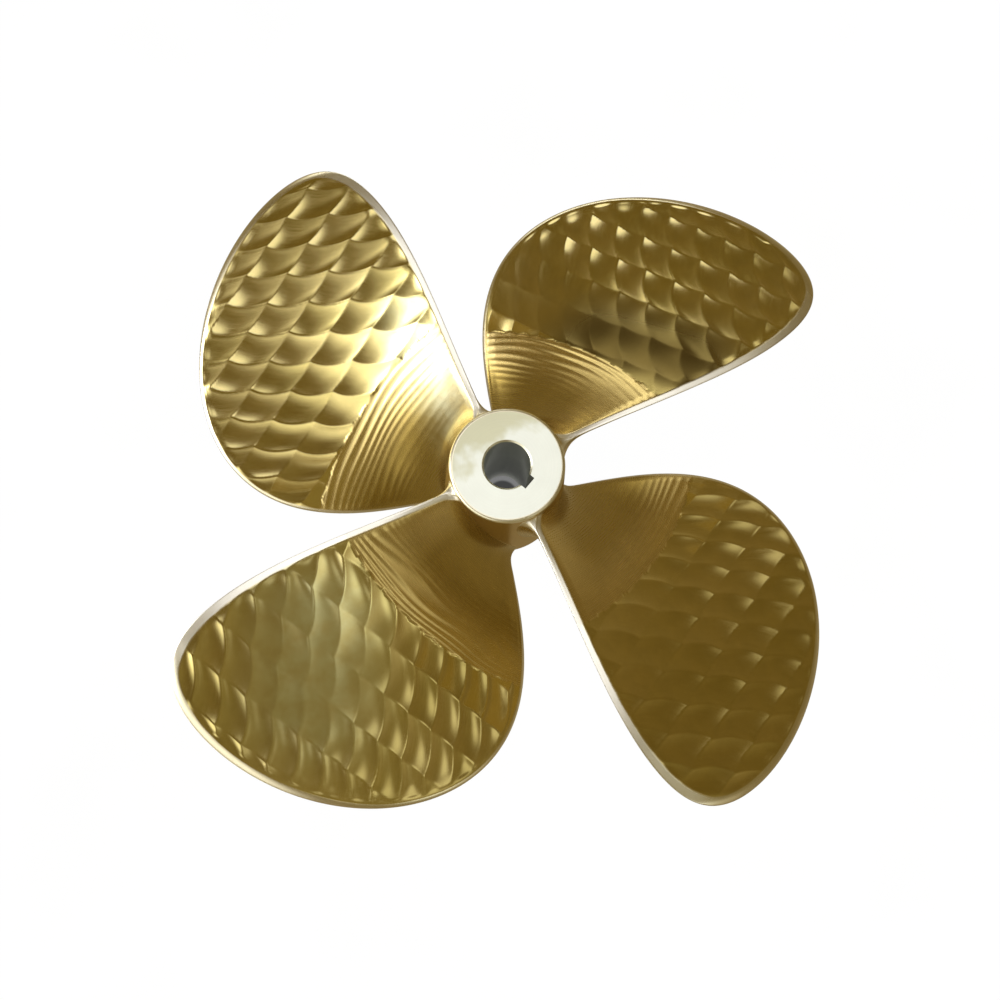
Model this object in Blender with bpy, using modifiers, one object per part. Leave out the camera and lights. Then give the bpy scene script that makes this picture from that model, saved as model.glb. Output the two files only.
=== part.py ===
"""Ship propeller: one bronze casting with four fixed blades, left-handed, bored and keyed for its shaft.

It lies on its forward hub face with the aft face up. The frame is the part's own: the shaft's axis is Z,
the forward hub face is at Z = 0, and the reference line of the first blade lies along +X, over the keyway.
"""

import math

import bmesh
import bpy
import numpy as np

# Driving dimensions, in metres
DIAMETER = 1.000
HUB_AFT_DIAMETER = 0.142
HUB_FORWARD_DIAMETER = 0.168
HUB_AFT_ROUND = 0.005
HUB_FORWARD_CHAMFER = 0.003
BORE_DIAMETER = 0.058
BORE_CHAMFER = 0.002
KEYWAY_WIDTH = 0.017
KEYWAY_DEPTH = 0.007

# Blades: pitch is the advance in one turn and the face is the aft side; the hub is as long as the blade
# roots are deep and the two clearances to its faces
BLADE_COUNT = 4
PITCH_AT_HUB = 1.080
PITCH_AT_TIP = 0.980
ROOT_TO_AFT_FACE = 0.011
ROOT_TO_FORWARD_FACE = 0.017
TIP_CURL = 0.018
CURL_START = 0.45
ROOT_THICKNESS = 0.040
TIP_THICKNESS = 0.006
EDGE_THICKNESS = 0.005
FILLET_RADIUS = 0.026
EDGE_FILLET_SHARE = 0.30
HIDDEN_ROOT_SHRINK = 0.12

# Blade outline, in degrees round the axis: half width and middle line at x, the share of the tip radius
HALF_WIDTH = 38.2
WIDTH_POWER = 3.9
ROOT_NARROWING = 3.5
ROOT_NARROWING_POWER = 6.0
MIDDLE_AT_AXIS = 13.2
MIDDLE_SWEEP = 9.6
TIP_SWEEP = 10.8
TIP_SWEEP_POWER = 7.5

# Smoothness of the faceted solid
HUB_SEGMENTS = 64
PROFILE_STEPS = 14
ROUND_STEPS = 4
SPAN_STEPS = 20
CHORD_STEPS = 18
EDGE_POWER = 16.0
TIP_POWER = 60.0
FILLET_START = 0.14
LAST_SPAN_STEP = 0.25
CREASE_ANGLE = 35.0

# Finish
BRONZE_COLOUR = (0.42, 0.29, 0.10, 1.0)
BRONZE_METALLIC = 1.0
BRONZE_ROUGHNESS = 0.3

TIP_RADIUS = DIAMETER / 2
BORE_RADIUS = BORE_DIAMETER / 2
HUB_AFT_RADIUS = HUB_AFT_DIAMETER / 2
HUB_FORWARD_RADIUS = HUB_FORWARD_DIAMETER / 2
KEYWAY_REACH = BORE_RADIUS + KEYWAY_DEPTH
HUB_SMALLEST_RADIUS = min(HUB_AFT_RADIUS, HUB_FORWARD_RADIUS)
BLADE_START_RADIUS = (KEYWAY_REACH + HUB_SMALLEST_RADIUS) / 2
CUT_OVERRUN = 0.02


def outline_angles(x):
    """Middle line and half width of the blade, in radians, at x = radius / tip radius."""
    outward = (1 - x) / (1 - HUB_SMALLEST_RADIUS / TIP_RADIUS)
    half = HALF_WIDTH * np.sqrt(np.clip(1 - x**WIDTH_POWER, 0, 1))
    half = half - ROOT_NARROWING * np.clip(outward, 0, 1) ** ROOT_NARROWING_POWER
    middle = MIDDLE_AT_AXIS - MIDDLE_SWEEP * x**2 - TIP_SWEEP * x**TIP_SWEEP_POWER
    return np.radians(middle), np.radians(half)


ROOT_MIDDLE, ROOT_HALF = outline_angles(HUB_SMALLEST_RADIUS / TIP_RADIUS)
ROOT_ADVANCE = PITCH_AT_HUB / math.tau
REFERENCE_HEIGHT = float(ROOT_TO_FORWARD_FACE + ROOT_ADVANCE * (ROOT_MIDDLE + ROOT_HALF))
HUB_LENGTH = float(REFERENCE_HEIGHT - ROOT_ADVANCE * (ROOT_MIDDLE - ROOT_HALF) + ROOT_TO_AFT_FACE)


def clear_scene():
    """Removes what the start-up scene holds."""
    for obj in list(bpy.data.objects):
        bpy.data.objects.remove(obj, do_unlink=True)


def new_collection(name):
    """A collection linked to the scene."""
    collection = bpy.data.collections.new(name)
    bpy.context.scene.collection.children.link(collection)
    return collection


def bronze():
    """Polished manganese bronze."""
    material = bpy.data.materials.new("polished_bronze")
    material.use_nodes = True
    shader = material.node_tree.nodes["Principled BSDF"]
    shader.inputs["Base Color"].default_value = BRONZE_COLOUR
    shader.inputs["Metallic"].default_value = BRONZE_METALLIC
    shader.inputs["Roughness"].default_value = BRONZE_ROUGHNESS
    return material


def mesh_object(name, points, faces, collection):
    """A mesh object at the origin, from points and faces in world space."""
    mesh = bpy.data.meshes.new(name)
    mesh.from_pydata([tuple(point) for point in points], [], faces)
    mesh.validate()
    obj = bpy.data.objects.new(name, mesh)
    collection.objects.link(obj)
    return obj


def apply_modifiers(obj):
    """Replaces the object's mesh by what its modifiers make of it."""
    graph = bpy.context.evaluated_depsgraph_get()
    made = bpy.data.meshes.new_from_object(obj.evaluated_get(graph))
    old = obj.data
    obj.modifiers.clear()
    obj.data = made
    bpy.data.meshes.remove(old)


def turned(name, profile, segments, collection):
    """A closed solid turned about Z, from an open profile of (radius, height) down its outer side."""
    points = [(radius, 0.0, height) for radius, height in profile]
    edges = [(i, i + 1) for i in range(len(points) - 1)]
    mesh = bpy.data.meshes.new(name)
    mesh.from_pydata(points, edges, [])
    obj = bpy.data.objects.new(name, mesh)
    collection.objects.link(obj)
    screw = obj.modifiers.new("turn", "SCREW")
    screw.axis = "Z"
    screw.angle = math.tau
    screw.steps = segments
    screw.render_steps = segments
    screw.use_merge_vertices = True
    screw.merge_threshold = 0.00001
    screw.use_smooth_shade = False
    apply_modifiers(obj)
    return obj


def hub_radius(height):
    """Outer radius of the hub: it swells from the aft face down and is nearly straight further on."""
    share = np.clip(1 - height / HUB_LENGTH, 0, 1)
    swell = HUB_FORWARD_RADIUS - HUB_AFT_RADIUS
    return HUB_AFT_RADIUS + swell * np.sin(share * math.pi / 2)


def hub_profile():
    """From the axis over the aft face, its rim, the barrel and the forward chamfer back to the axis."""
    profile = [(0.0, HUB_LENGTH)]
    rim_centre = hub_radius(HUB_LENGTH - HUB_AFT_ROUND) - HUB_AFT_ROUND
    for step in range(ROUND_STEPS + 1):
        turn = math.pi / 2 * (1 - step / ROUND_STEPS)
        radius = rim_centre + HUB_AFT_ROUND * math.cos(turn)
        height = HUB_LENGTH - HUB_AFT_ROUND + HUB_AFT_ROUND * math.sin(turn)
        profile.append((radius, height))
    barrel_top = HUB_LENGTH - HUB_AFT_ROUND
    for step in range(1, PROFILE_STEPS + 1):
        height = barrel_top + (HUB_FORWARD_CHAMFER - barrel_top) * step / PROFILE_STEPS
        profile.append((float(hub_radius(height)), height))
    profile.append((HUB_FORWARD_RADIUS - HUB_FORWARD_CHAMFER, 0.0))
    profile.append((0.0, 0.0))
    return profile


def pitch_at(radius):
    """Pitch in metres, falling in a straight line from the hub to the tip."""
    share = (radius - HUB_SMALLEST_RADIUS) / (TIP_RADIUS - HUB_SMALLEST_RADIUS)
    return PITCH_AT_HUB + (PITCH_AT_TIP - PITCH_AT_HUB) * np.clip(share, 0, 1)


def fillet_width(above_hub, share):
    """How far the root fillet, a quarter circle, stands off the blade at a height above the hub."""
    radius = FILLET_RADIUS * share
    reach = np.clip(above_hub / radius, FILLET_START, 1)
    return radius * (1 - np.sqrt(1 - (1 - reach) ** 2))


def blade_surface(span, chord):
    """Face and back points of a blade.

    span is 0 in the hub and 1 at the tip, chord is -1 at the trailing edge and 1 at the leading edge. The
    face is a left-handed helicoid, and the back lies behind it by the thickness.
    """
    start = BLADE_START_RADIUS / TIP_RADIUS
    x = start + (1 - start) * np.sin(span * math.pi / 2)
    radius = x * TIP_RADIUS
    middle, half = outline_angles(x)
    advance = pitch_at(radius) / math.tau
    curl = -TIP_CURL * (np.clip(x - CURL_START, 0, 1) / (1 - CURL_START)) ** 2
    slope = np.sqrt(radius**2 + advance**2)
    angle = middle + chord * half
    height = REFERENCE_HEIGHT + curl - advance * angle

    edge_share = EDGE_FILLET_SHARE + (1 - EDGE_FILLET_SHARE) * (1 - chord**2)
    fillet = fillet_width(radius - hub_radius(height), edge_share)
    angle = angle + chord * fillet / slope
    height = REFERENCE_HEIGHT + curl - advance * angle

    outward = (radius - HUB_AFT_RADIUS) / (TIP_RADIUS - HUB_AFT_RADIUS)
    crown = ROOT_THICKNESS + (TIP_THICKNESS - ROOT_THICKNESS) * outward
    edge_rim = np.sqrt(np.clip(1 - np.abs(chord) ** EDGE_POWER, 0, 1))
    rim = edge_rim * np.sqrt(np.clip(1 - x**TIP_POWER, 0, 1))
    edge = EDGE_THICKNESS + 2 * fillet
    body = np.clip(crown - EDGE_THICKNESS, 0, None) * (1 - chord**2) * rim
    up = fillet - edge / 2 * (1 - rim)
    down = up - body - edge * rim
    sides = []
    for offset in (up, down):
        side_angle = angle + offset * advance / (slope * radius)
        side_height = height + offset * radius / slope
        below_hub = hub_radius(side_height) - radius
        sunk = np.clip(below_hub / (HUB_SMALLEST_RADIUS - BLADE_START_RADIUS), 0, 1)
        side_height = side_height + (HUB_LENGTH / 2 - side_height) * HIDDEN_ROOT_SHRINK * sunk
        x_side, y_side = radius * np.cos(side_angle), radius * np.sin(side_angle)
        sides.append(np.stack([x_side, y_side, side_height], axis=-1))
    return sides


def blade(name, turn, collection):
    """One blade: a closed loft of sections on cylinders round the axis, from inside the hub to the tip."""
    span = np.linspace(0, 1, SPAN_STEPS + 1)[:-1]
    span = np.append(span, 1 - LAST_SPAN_STEP / SPAN_STEPS)
    chord = np.sin(np.linspace(-1, 1, CHORD_STEPS + 1) * math.pi / 2)
    grid_span, grid_chord = np.meshgrid(span, chord, indexing="ij")
    face, back = blade_surface(grid_span, grid_chord)
    rings = np.concatenate([face, back[:, -2:0:-1]], axis=1)
    rings[:, 0] = (face[:, 0] + back[:, 0]) / 2
    rings[:, CHORD_STEPS] = (face[:, -1] + back[:, -1]) / 2
    tip = rings[-1].mean(axis=0)
    cosine, sine = math.cos(turn), math.sin(turn)
    rotation = np.array([[cosine, -sine, 0], [sine, cosine, 0], [0, 0, 1]])
    count = rings.shape[1]
    points = np.vstack([rings.reshape(-1, 3), tip[None]]) @ rotation.T
    faces = []
    for ring in range(len(span) - 1):
        for i in range(count):
            j = (i + 1) % count
            low, high = ring * count, (ring + 1) * count
            faces.append((low + i, low + j, high + j, high + i))
    faces.append(tuple(reversed(range(count))))
    last = (len(span) - 1) * count
    for i in range(count):
        faces.append((last + i, last + (i + 1) % count, len(points) - 1))
    obj = mesh_object(name, points, faces, collection)
    work = bmesh.new()
    work.from_mesh(obj.data)
    bmesh.ops.triangulate(work, faces=[f for f in work.faces if len(f.verts) > 4])
    bmesh.ops.recalc_face_normals(work, faces=work.faces)
    work.to_mesh(obj.data)
    work.free()
    return obj


def bore_profile():
    """The bore's cutter: past both faces of the hub, with a chamfer at each mouth."""
    top = HUB_LENGTH
    mouth = BORE_RADIUS + BORE_CHAMFER + CUT_OVERRUN
    return [
        (0.0, top + CUT_OVERRUN),
        (mouth, top + CUT_OVERRUN),
        (BORE_RADIUS, top - BORE_CHAMFER),
        (BORE_RADIUS, BORE_CHAMFER),
        (mouth, -CUT_OVERRUN),
        (0.0, -CUT_OVERRUN),
    ]


def keyway_cutter(collection):
    """A bar along the bore, as wide as the key, from the axis out to the keyway's floor."""
    mesh = bpy.data.meshes.new("keyway_cutter")
    work = bmesh.new()
    bmesh.ops.create_cube(work, size=1.0)
    work.to_mesh(mesh)
    work.free()
    obj = bpy.data.objects.new("keyway_cutter", mesh)
    obj.scale = (KEYWAY_REACH, KEYWAY_WIDTH, HUB_LENGTH + 2 * CUT_OVERRUN)
    obj.location = (KEYWAY_REACH / 2, 0.0, HUB_LENGTH / 2)
    collection.objects.link(obj)
    return obj


def add_boolean(obj, operation, other):
    """Joins or cuts the object with another one, exactly."""
    modifier = obj.modifiers.new(f"{operation.lower()}_{other.name}", "BOOLEAN")
    modifier.operation = operation
    modifier.solver = "EXACT"
    modifier.object = other


def make_helper(obj):
    """Hides an object that only shapes another."""
    obj.hide_render = True
    obj.display_type = "WIRE"


def build():
    """Hub and blades as one casting, then the machining of its bore and keyway."""
    clear_scene()
    parts = new_collection("ship_propeller")
    helpers = new_collection("cutters_and_patterns")
    casting = turned("propeller_casting", hub_profile(), HUB_SEGMENTS, parts)
    for number in range(BLADE_COUNT):
        pattern = blade(f"blade_pattern_{number + 1}", math.tau * number / BLADE_COUNT, helpers)
        add_boolean(casting, "UNION", pattern)
        make_helper(pattern)
    for cutter in (turned("bore_cutter", bore_profile(), HUB_SEGMENTS, helpers), keyway_cutter(helpers)):
        add_boolean(casting, "DIFFERENCE", cutter)
        make_helper(cutter)
    apply_modifiers(casting)
    casting.data.materials.clear()
    casting.data.materials.append(bronze())
    casting.data.shade_smooth()
    casting.data.set_sharp_from_angle(angle=math.radians(CREASE_ANGLE))


build()
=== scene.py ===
"""Dress of a left-handed bronze ship propeller: ground blades, machined hub, floor and soft studio light.

The frame is the casting's own: the shaft's axis is Z, the forward hub face lies on the floor at Z = 0, and
the first blade's reference line and the keyway lie along +X. Lengths are in metres, angles in degrees where
a name says so and in radians elsewhere.
"""

import logging
import math
from dataclasses import dataclass, field
from enum import Enum

import bpy
import numpy as np
from mathutils import Matrix, Vector


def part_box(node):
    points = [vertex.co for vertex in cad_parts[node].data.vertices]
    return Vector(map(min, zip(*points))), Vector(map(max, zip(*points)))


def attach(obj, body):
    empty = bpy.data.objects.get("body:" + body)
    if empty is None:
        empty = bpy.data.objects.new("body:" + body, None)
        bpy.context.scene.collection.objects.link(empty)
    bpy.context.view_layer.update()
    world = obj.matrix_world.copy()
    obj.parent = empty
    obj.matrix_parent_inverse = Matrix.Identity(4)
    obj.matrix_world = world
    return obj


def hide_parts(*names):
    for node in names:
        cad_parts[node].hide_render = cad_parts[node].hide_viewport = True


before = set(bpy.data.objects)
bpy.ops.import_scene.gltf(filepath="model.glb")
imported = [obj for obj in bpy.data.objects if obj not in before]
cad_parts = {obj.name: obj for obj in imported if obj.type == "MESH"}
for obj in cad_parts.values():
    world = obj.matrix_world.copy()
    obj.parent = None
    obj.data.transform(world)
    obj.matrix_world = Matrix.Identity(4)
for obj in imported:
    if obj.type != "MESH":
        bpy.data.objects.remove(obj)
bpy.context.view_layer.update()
LOG = logging.getLogger("propeller")
CASTING = "propeller_casting"
BODY = "root"

Span = tuple[float, float]
Range = tuple[float, float, float, float]
Colour = tuple[float, float, float]


class Side(Enum):
    """The two sides of a blade section."""

    FACE = 1
    BACK = -1


def turned_about_z(points: np.ndarray, angle: float) -> np.ndarray:
    """Turns points about the shaft's axis.

    Args:
        points: array whose last axis holds x, y, z.
        angle: turn in radians, counter-clockwise seen from aft.

    Returns:
        The turned points, in the same layout.
    """
    cosine, sine = math.cos(angle), math.sin(angle)
    rotation = np.array([[cosine, -sine, 0.0], [sine, cosine, 0.0], [0.0, 0.0, 1.0]])
    return points @ rotation.T


def smooth_step(value: np.ndarray, low: float, high: float) -> np.ndarray:
    """A ramp from 0 at low to 1 at high whose ends are level: 3 t squared less 2 t cubed."""
    share = np.clip((value - low) / (high - low), 0.0, 1.0)
    return share * share * (3.0 - 2.0 * share)


@dataclass(frozen=True)
class HubForm:
    """Sizes of the hub: a barrel with a round aft rim, a forward chamfer, a bore and a keyway."""

    length: float
    aft_radius: float = 0.071
    forward_radius: float = 0.084
    aft_round: float = 0.005
    forward_chamfer: float = 0.003
    bore_radius: float = 0.029
    bore_chamfer: float = 0.002
    keyway_width: float = 0.017
    keyway_depth: float = 0.007
    angle_slack: float = 1e-9
    least_turn: float = 1e-3

    def radius(self, height: np.ndarray) -> np.ndarray:
        """Outer radius at a height: it swells by a quarter sine wave from the aft face to the forward one."""
        share = np.clip(1.0 - height / self.length, 0.0, 1.0)
        return self.aft_radius + (self.forward_radius - self.aft_radius) * np.sin(share * math.pi / 2)

    def keyway_reach(self) -> float:
        """Distance from the axis to the keyway's floor."""
        return self.bore_radius + self.keyway_depth

    def bore_wall(self, angle: np.ndarray) -> np.ndarray:
        """Radius of the bore with its keyway in a direction: the circle, or the keyway's side or floor."""
        half = self.keyway_width / 2
        reach = self.keyway_reach()
        side_start = math.asin(half / self.bore_radius)
        floor_start = math.atan2(half, reach)
        turn = np.abs((angle + math.pi) % math.tau - math.pi)
        wall = np.full_like(turn, self.bore_radius)
        side = (turn < side_start - self.angle_slack) & (turn > floor_start)
        wall = np.where(side, half / np.sin(np.clip(turn, self.least_turn, None)), wall)
        floor = reach / np.cos(np.clip(turn, 0.0, floor_start))
        return np.where(turn <= floor_start + self.angle_slack, floor, wall)


@dataclass(frozen=True)
class BladeForm:
    """Sizes of a blade: a left-handed helicoid with a swept round outline, thick at the root."""

    hub: HubForm
    tip_radius: float = 0.500
    pitch_at_hub: float = 1.080
    pitch_at_tip: float = 0.980
    root_to_forward_face: float = 0.017
    tip_curl: float = 0.018
    curl_start: float = 0.45
    half_width_deg: float = 38.2
    width_power: float = 3.9
    root_narrowing_deg: float = 3.5
    root_narrowing_power: float = 6.0
    middle_at_axis_deg: float = 13.2
    middle_sweep_deg: float = 9.6
    tip_sweep_deg: float = 10.8
    tip_sweep_power: float = 7.5
    root_thickness: float = 0.040
    tip_thickness: float = 0.006
    edge_thickness: float = 0.0075
    fillet_radius: float = 0.026
    edge_fillet_share: float = 0.30
    nose: float = 0.0014
    band_width: float = 0.0140
    band_follow: float = 1.0
    band_steepest_deg: float = 38.0
    least_edge: float = 0.0020
    roll_width: float = 0.0070
    tip_roll_width: float = 0.0110
    roll_start_deg: float = 9.0
    roll_end_deg: float = 32.0
    tip_zone: Span = (0.050, 0.012)
    edge_level: float = -0.0016
    nose_level: float = -0.00585
    calm_width: float = 0.0120
    cut_relief: float = 0.40
    cut_zone: Span = (-0.0010, 0.0042)
    lip_margin_share: float = 0.3
    hub_zone: Span = (-0.004, -0.0002)
    hub_relief: float = 0.25
    band_border: Span = (-0.0014, 0.0014)
    lip_border: Span = (-0.0005, 0.0015)
    tip_rim_loss: float = 0.35
    lip_rim: float = 0.65
    back_cell_zone: Span = (0.010, 0.030)
    back_cell_share: float = 0.55
    back_rim_zone: Span = (0.004, 0.010)

    def outline(self, x: np.ndarray) -> tuple[np.ndarray, np.ndarray]:
        """Middle line and half width of the blade at a share of the tip radius.

        The half width falls as the root of one less a power of x, and narrows at the hub. The middle line
        sweeps back with the square of x and with a high power of it near the tip.

        Args:
            x: radius over tip radius.

        Returns:
            The middle angle and the half width, in radians.
        """
        smallest = min(self.hub.aft_radius, self.hub.forward_radius) / self.tip_radius
        outward = np.clip((1.0 - x) / (1.0 - smallest), 0.0, 1.0)
        half = self.half_width_deg * np.sqrt(np.clip(1.0 - x**self.width_power, 0.0, 1.0))
        half = half - self.root_narrowing_deg * outward**self.root_narrowing_power
        middle = self.middle_at_axis_deg - self.middle_sweep_deg * x**2
        middle = middle - self.tip_sweep_deg * x**self.tip_sweep_power
        return np.radians(middle), np.radians(half)

    def advance(self, radius: np.ndarray) -> np.ndarray:
        """Rise for one radian of turn: the pitch, falling evenly from hub to tip, over a full turn."""
        smallest = min(self.hub.aft_radius, self.hub.forward_radius)
        share = np.clip((radius - smallest) / (self.tip_radius - smallest), 0.0, 1.0)
        return (self.pitch_at_hub + (self.pitch_at_tip - self.pitch_at_hub) * share) / math.tau

    def reference_height(self) -> float:
        """Height of the helicoid at angle 0, so that the root's leading edge clears the forward face."""
        middle, half = self.outline(np.array(self.hub.aft_radius / self.tip_radius))
        return float(self.root_to_forward_face + self.pitch_at_hub / math.tau * (middle + half))

    def mean_point(self, radius: np.ndarray, angle: np.ndarray) -> np.ndarray:
        """Point of the helicoid: its height falls with the angle, and curls forward towards the tip."""
        curled = np.clip(radius / self.tip_radius - self.curl_start, 0.0, 1.0) / (1.0 - self.curl_start)
        height = self.reference_height() - self.tip_curl * curled**2 - self.advance(radius) * angle
        return np.stack([radius * np.cos(angle), radius * np.sin(angle), height], axis=-1)


@dataclass(frozen=True)
class GrindingPattern:
    """Arcs that the grinder leaves: dished cells in rows over the blade, long strokes at its root.

    A cell's corners form a lattice in the blade's plan, with a step along a row and a step to the next row.
    """

    row_step: Span = (-0.0495, -0.0325)
    next_row: Span = (0.0, 0.0430)
    first_corner: Span = (0.3130, 0.1050)
    row_sag: float = 0.16
    side_sag: float = 0.04
    dish_along: float = 0.0018
    dish_across: float = 0.0021
    dish_lift: float = 0.0012
    corner_lift: float = 0.0006
    smooth_margin: float = 0.0
    shallow_place: Span = (0.150, 0.220)
    shallow_run: Span = (0.0, 0.0)
    shallow_reach: float = 0.0
    shallow_share: float = 0.35
    # Patches of painted shade, above 0, and of painted highlight, below 0: where they lie, how far they reach
    # and how strong they are.
    reflection_patch_place: Span = (0.228, 0.020)
    reflection_patch_run: Span = (0.022, -0.100)
    reflection_patch_reach: float = 0.0
    reflection_patch_share: float = 1.0
    reflection_patch_in_root: float = 0.0
    reflection_patch_core: float = 0.10
    stroke_wander: float = 1.0
    stroke_centre: Span = (-0.154, 0.060)
    stroke_edge: float = 0.376
    stroke_pitch: float = 0.0098
    stroke_depth: float = 0.0009
    stroke_fade: float = 0.050
    edge_wave: float = 0.0022
    edge_wave_length: float = 0.021
    cross_wander: Span = (0.0022, 0.0093)
    slow_wander: Span = (0.0040, 0.071)
    quick_wander: tuple[float, float, float] = (0.0012, 0.023, 0.02)
    least_depth: float = 0.16
    # Where the root's painted shade lies: it darkens towards the hub, less so near the trailing edge.
    hub_shade_zone: Span = (0.012, 0.075)
    hub_shade_edge_zone: Span = (0.015, 0.095)
    hub_shade_least: float = 0.15
    scatter: tuple[float, float, float] = (12.9898, 78.233, 43758.5453)
    solve_rounds: int = 5

    def lattice(self, plan: np.ndarray) -> tuple[np.ndarray, np.ndarray]:
        """Position in the lattice, bent so that whole numbers lie on the arcs between the corners.

        The plan position is first written as steps along and across the rows. Each coordinate then loses the
        sag of its arc, a parabola of the other coordinate's fraction, in a few rounds until both agree.

        Args:
            plan: array of x and y on its last axis, in the blade's own plan.

        Returns:
            The bent coordinates along and across the rows.
        """
        basis = np.array([self.row_step, self.next_row]).T
        steps = (plan - np.array(self.first_corner)) @ np.linalg.inv(basis).T
        along, across = steps[..., 0], steps[..., 1]
        bent_along, bent_across = along, across
        for _ in range(self.solve_rounds):
            row_part = bent_across - np.floor(bent_across)
            bent_along = along - self.side_sag * 4.0 * row_part * (1.0 - row_part)
            cell_part = bent_along - np.floor(bent_along)
            bent_across = across - self.row_sag * 4.0 * cell_part * (1.0 - cell_part)
        return bent_along, bent_across

    def corner_height(self, along: np.ndarray, across: np.ndarray) -> np.ndarray:
        """A corner's own height, from -1 to 1: the fraction of a large sine of its whole numbers."""
        first, second, large = self.scatter
        mixed = np.sin(along * first + across * second) * large
        return 2.0 * (mixed - np.floor(mixed)) - 1.0

    def near_run(self, plan: np.ndarray, place: Span, run: Span, reach: float,
                 core: float = 0.45) -> np.ndarray:
        """1 close to a short straight run over the blade, falling softly to 0 at the reach.

        Args:
            plan: x and y in the blade's plan.
            place: where the run starts.
            run: the way from its start to its end.
            reach: distance at which the share is 0.
            core: share of the reach over which it stays 1.

        Returns:
            The shares.
        """
        if reach <= 0.0:
            return np.zeros(plan.shape[:-1])
        line = np.array(run)
        apart = plan - np.array(place)
        share = np.clip(apart @ line / max(float(line @ line), 1e-9), 0.0, 1.0)
        away = np.hypot(apart[..., 0] - share * line[0], apart[..., 1] - share * line[1])
        return 1.0 - smooth_step(away, core * reach, reach)

    def depth_share(self, plan: np.ndarray) -> np.ndarray:
        """Share of the full depth: the cells are shallower where the blade is worn smooth."""
        wear_and_highlight = self.near_run(plan, self.shallow_place, self.shallow_run, self.shallow_reach)
        return 1.0 - (1.0 - self.shallow_share) * wear_and_highlight

    def painted_shade_and_highlight(self, plan: np.ndarray) -> np.ndarray:
        """Above 0 where a dark patch of painted shade is laid, below 0 where a pale patch of painted
        highlight is laid.
        """
        near = self.near_run(plan, self.reflection_patch_place, self.reflection_patch_run, self.reflection_patch_reach, self.reflection_patch_core)
        return self.reflection_patch_share * near

    def dishes(self, plan: np.ndarray, along: np.ndarray, across: np.ndarray) -> np.ndarray:
        """Depth of the dished cells: a paraboloid in each, level with its neighbours along the arcs.

        Args:
            plan: x and y in the blade's plan.
            along: bent coordinate along the rows.
            across: bent coordinate across the rows.

        Returns:
            The height over the smooth face, mostly negative.
        """
        column, row = np.floor(along), np.floor(across)
        u, v = along - column, across - row
        bowl = self.dish_along * ((2 * u - 1) ** 2 - 1) + self.dish_across * ((2 * v - 1) ** 2 - 1)
        bowl = bowl + self.dish_lift
        bowl = bowl * self.depth_share(plan)
        low = self.corner_height(column, row) * (1 - u) + self.corner_height(column + 1, row) * u
        high = self.corner_height(column, row + 1) * (1 - u) + self.corner_height(column + 1, row + 1) * u
        return bowl + self.corner_lift * (low * (1 - v) + high * v)

    def stroke_radius(self, plan: np.ndarray) -> np.ndarray:
        """Distance from the centre that the root's strokes swing round."""
        return np.hypot(plan[..., 0] - self.stroke_centre[0], plan[..., 1] - self.stroke_centre[1])

    def stroke_length(self, plan: np.ndarray) -> np.ndarray:
        """Length along a root stroke, measured at the zone's edge."""
        turn = np.arctan2(plan[..., 1] - self.stroke_centre[1], plan[..., 0] - self.stroke_centre[0])
        return turn * self.stroke_edge

    def root_share(self, plan: np.ndarray, seed: float) -> np.ndarray:
        """1 in the root's zone and 0 over the cells: inside a circle whose edge is a row of small arcs."""
        length = self.stroke_length(plan) + seed * self.edge_wave_length
        wave = self.edge_wave * np.abs(np.sin(math.pi * length / self.edge_wave_length))
        return (self.stroke_radius(plan) < self.stroke_edge + wave).astype(float)

    def strokes(self, plan: np.ndarray, seed: float) -> np.ndarray:
        """Height of the root's strokes: rows of shallow troughs, deepest at the zone's edge.

        The radius is bent by slow sines of itself and of the length along the stroke, so that the troughs
        vary in width and wander, and the troughs are the absolute value of a sine of the bent radius.

        Args:
            plan: x and y in the blade's plan.
            seed: shifts the wandering from blade to blade.

        Returns:
            The height over the smooth face, negative.
        """
        radius = self.stroke_radius(plan)
        length = self.stroke_length(plan)
        (cross, cross_way), (slow, slow_way) = self.cross_wander, self.slow_wander
        quick, quick_way, slant = self.quick_wander
        wander = cross * np.sin(radius / cross_way + seed) + slow * np.sin(length / slow_way + 2 * seed)
        wander = wander + quick * np.sin(length / quick_way + radius / slant + 5 * seed)
        bent = radius + self.stroke_wander * wander
        inward = np.clip(self.stroke_edge - radius, 0.0, None)
        fade = self.least_depth + (1.0 - self.least_depth) * np.exp(-((inward / self.stroke_fade) ** 2))
        return -self.stroke_depth * fade * np.abs(np.sin(math.pi * bent / self.stroke_pitch))


@dataclass(frozen=True)
class BladeMeshDensity:
    """Rows and columns of a blade's grid."""

    fillet_rows: int = 16
    plain_rows: int = 200
    tip_rows: int = 40
    tip_zone: float = 0.036
    face_columns: int = 216
    back_columns: int = 96
    nose_columns: int = 9
    nose_share: float = 0.032
    sunk_rows: int = 2
    sunk_depth: float = 0.006
    edge_start_share: float = 0.9
    edge_points: int = 200
    edge_batch: int = 20
    solve_rounds: int = 5


@dataclass(frozen=True)
class SmoothSide:
    """One side of a blade before it is ground: a grid of places and how far each lies from the edges."""

    radius: np.ndarray
    angle: np.ndarray
    chord: np.ndarray
    fillet: np.ndarray
    plan: np.ndarray
    to_trailing: np.ndarray
    to_leading: np.ndarray
    closing: np.ndarray


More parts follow.
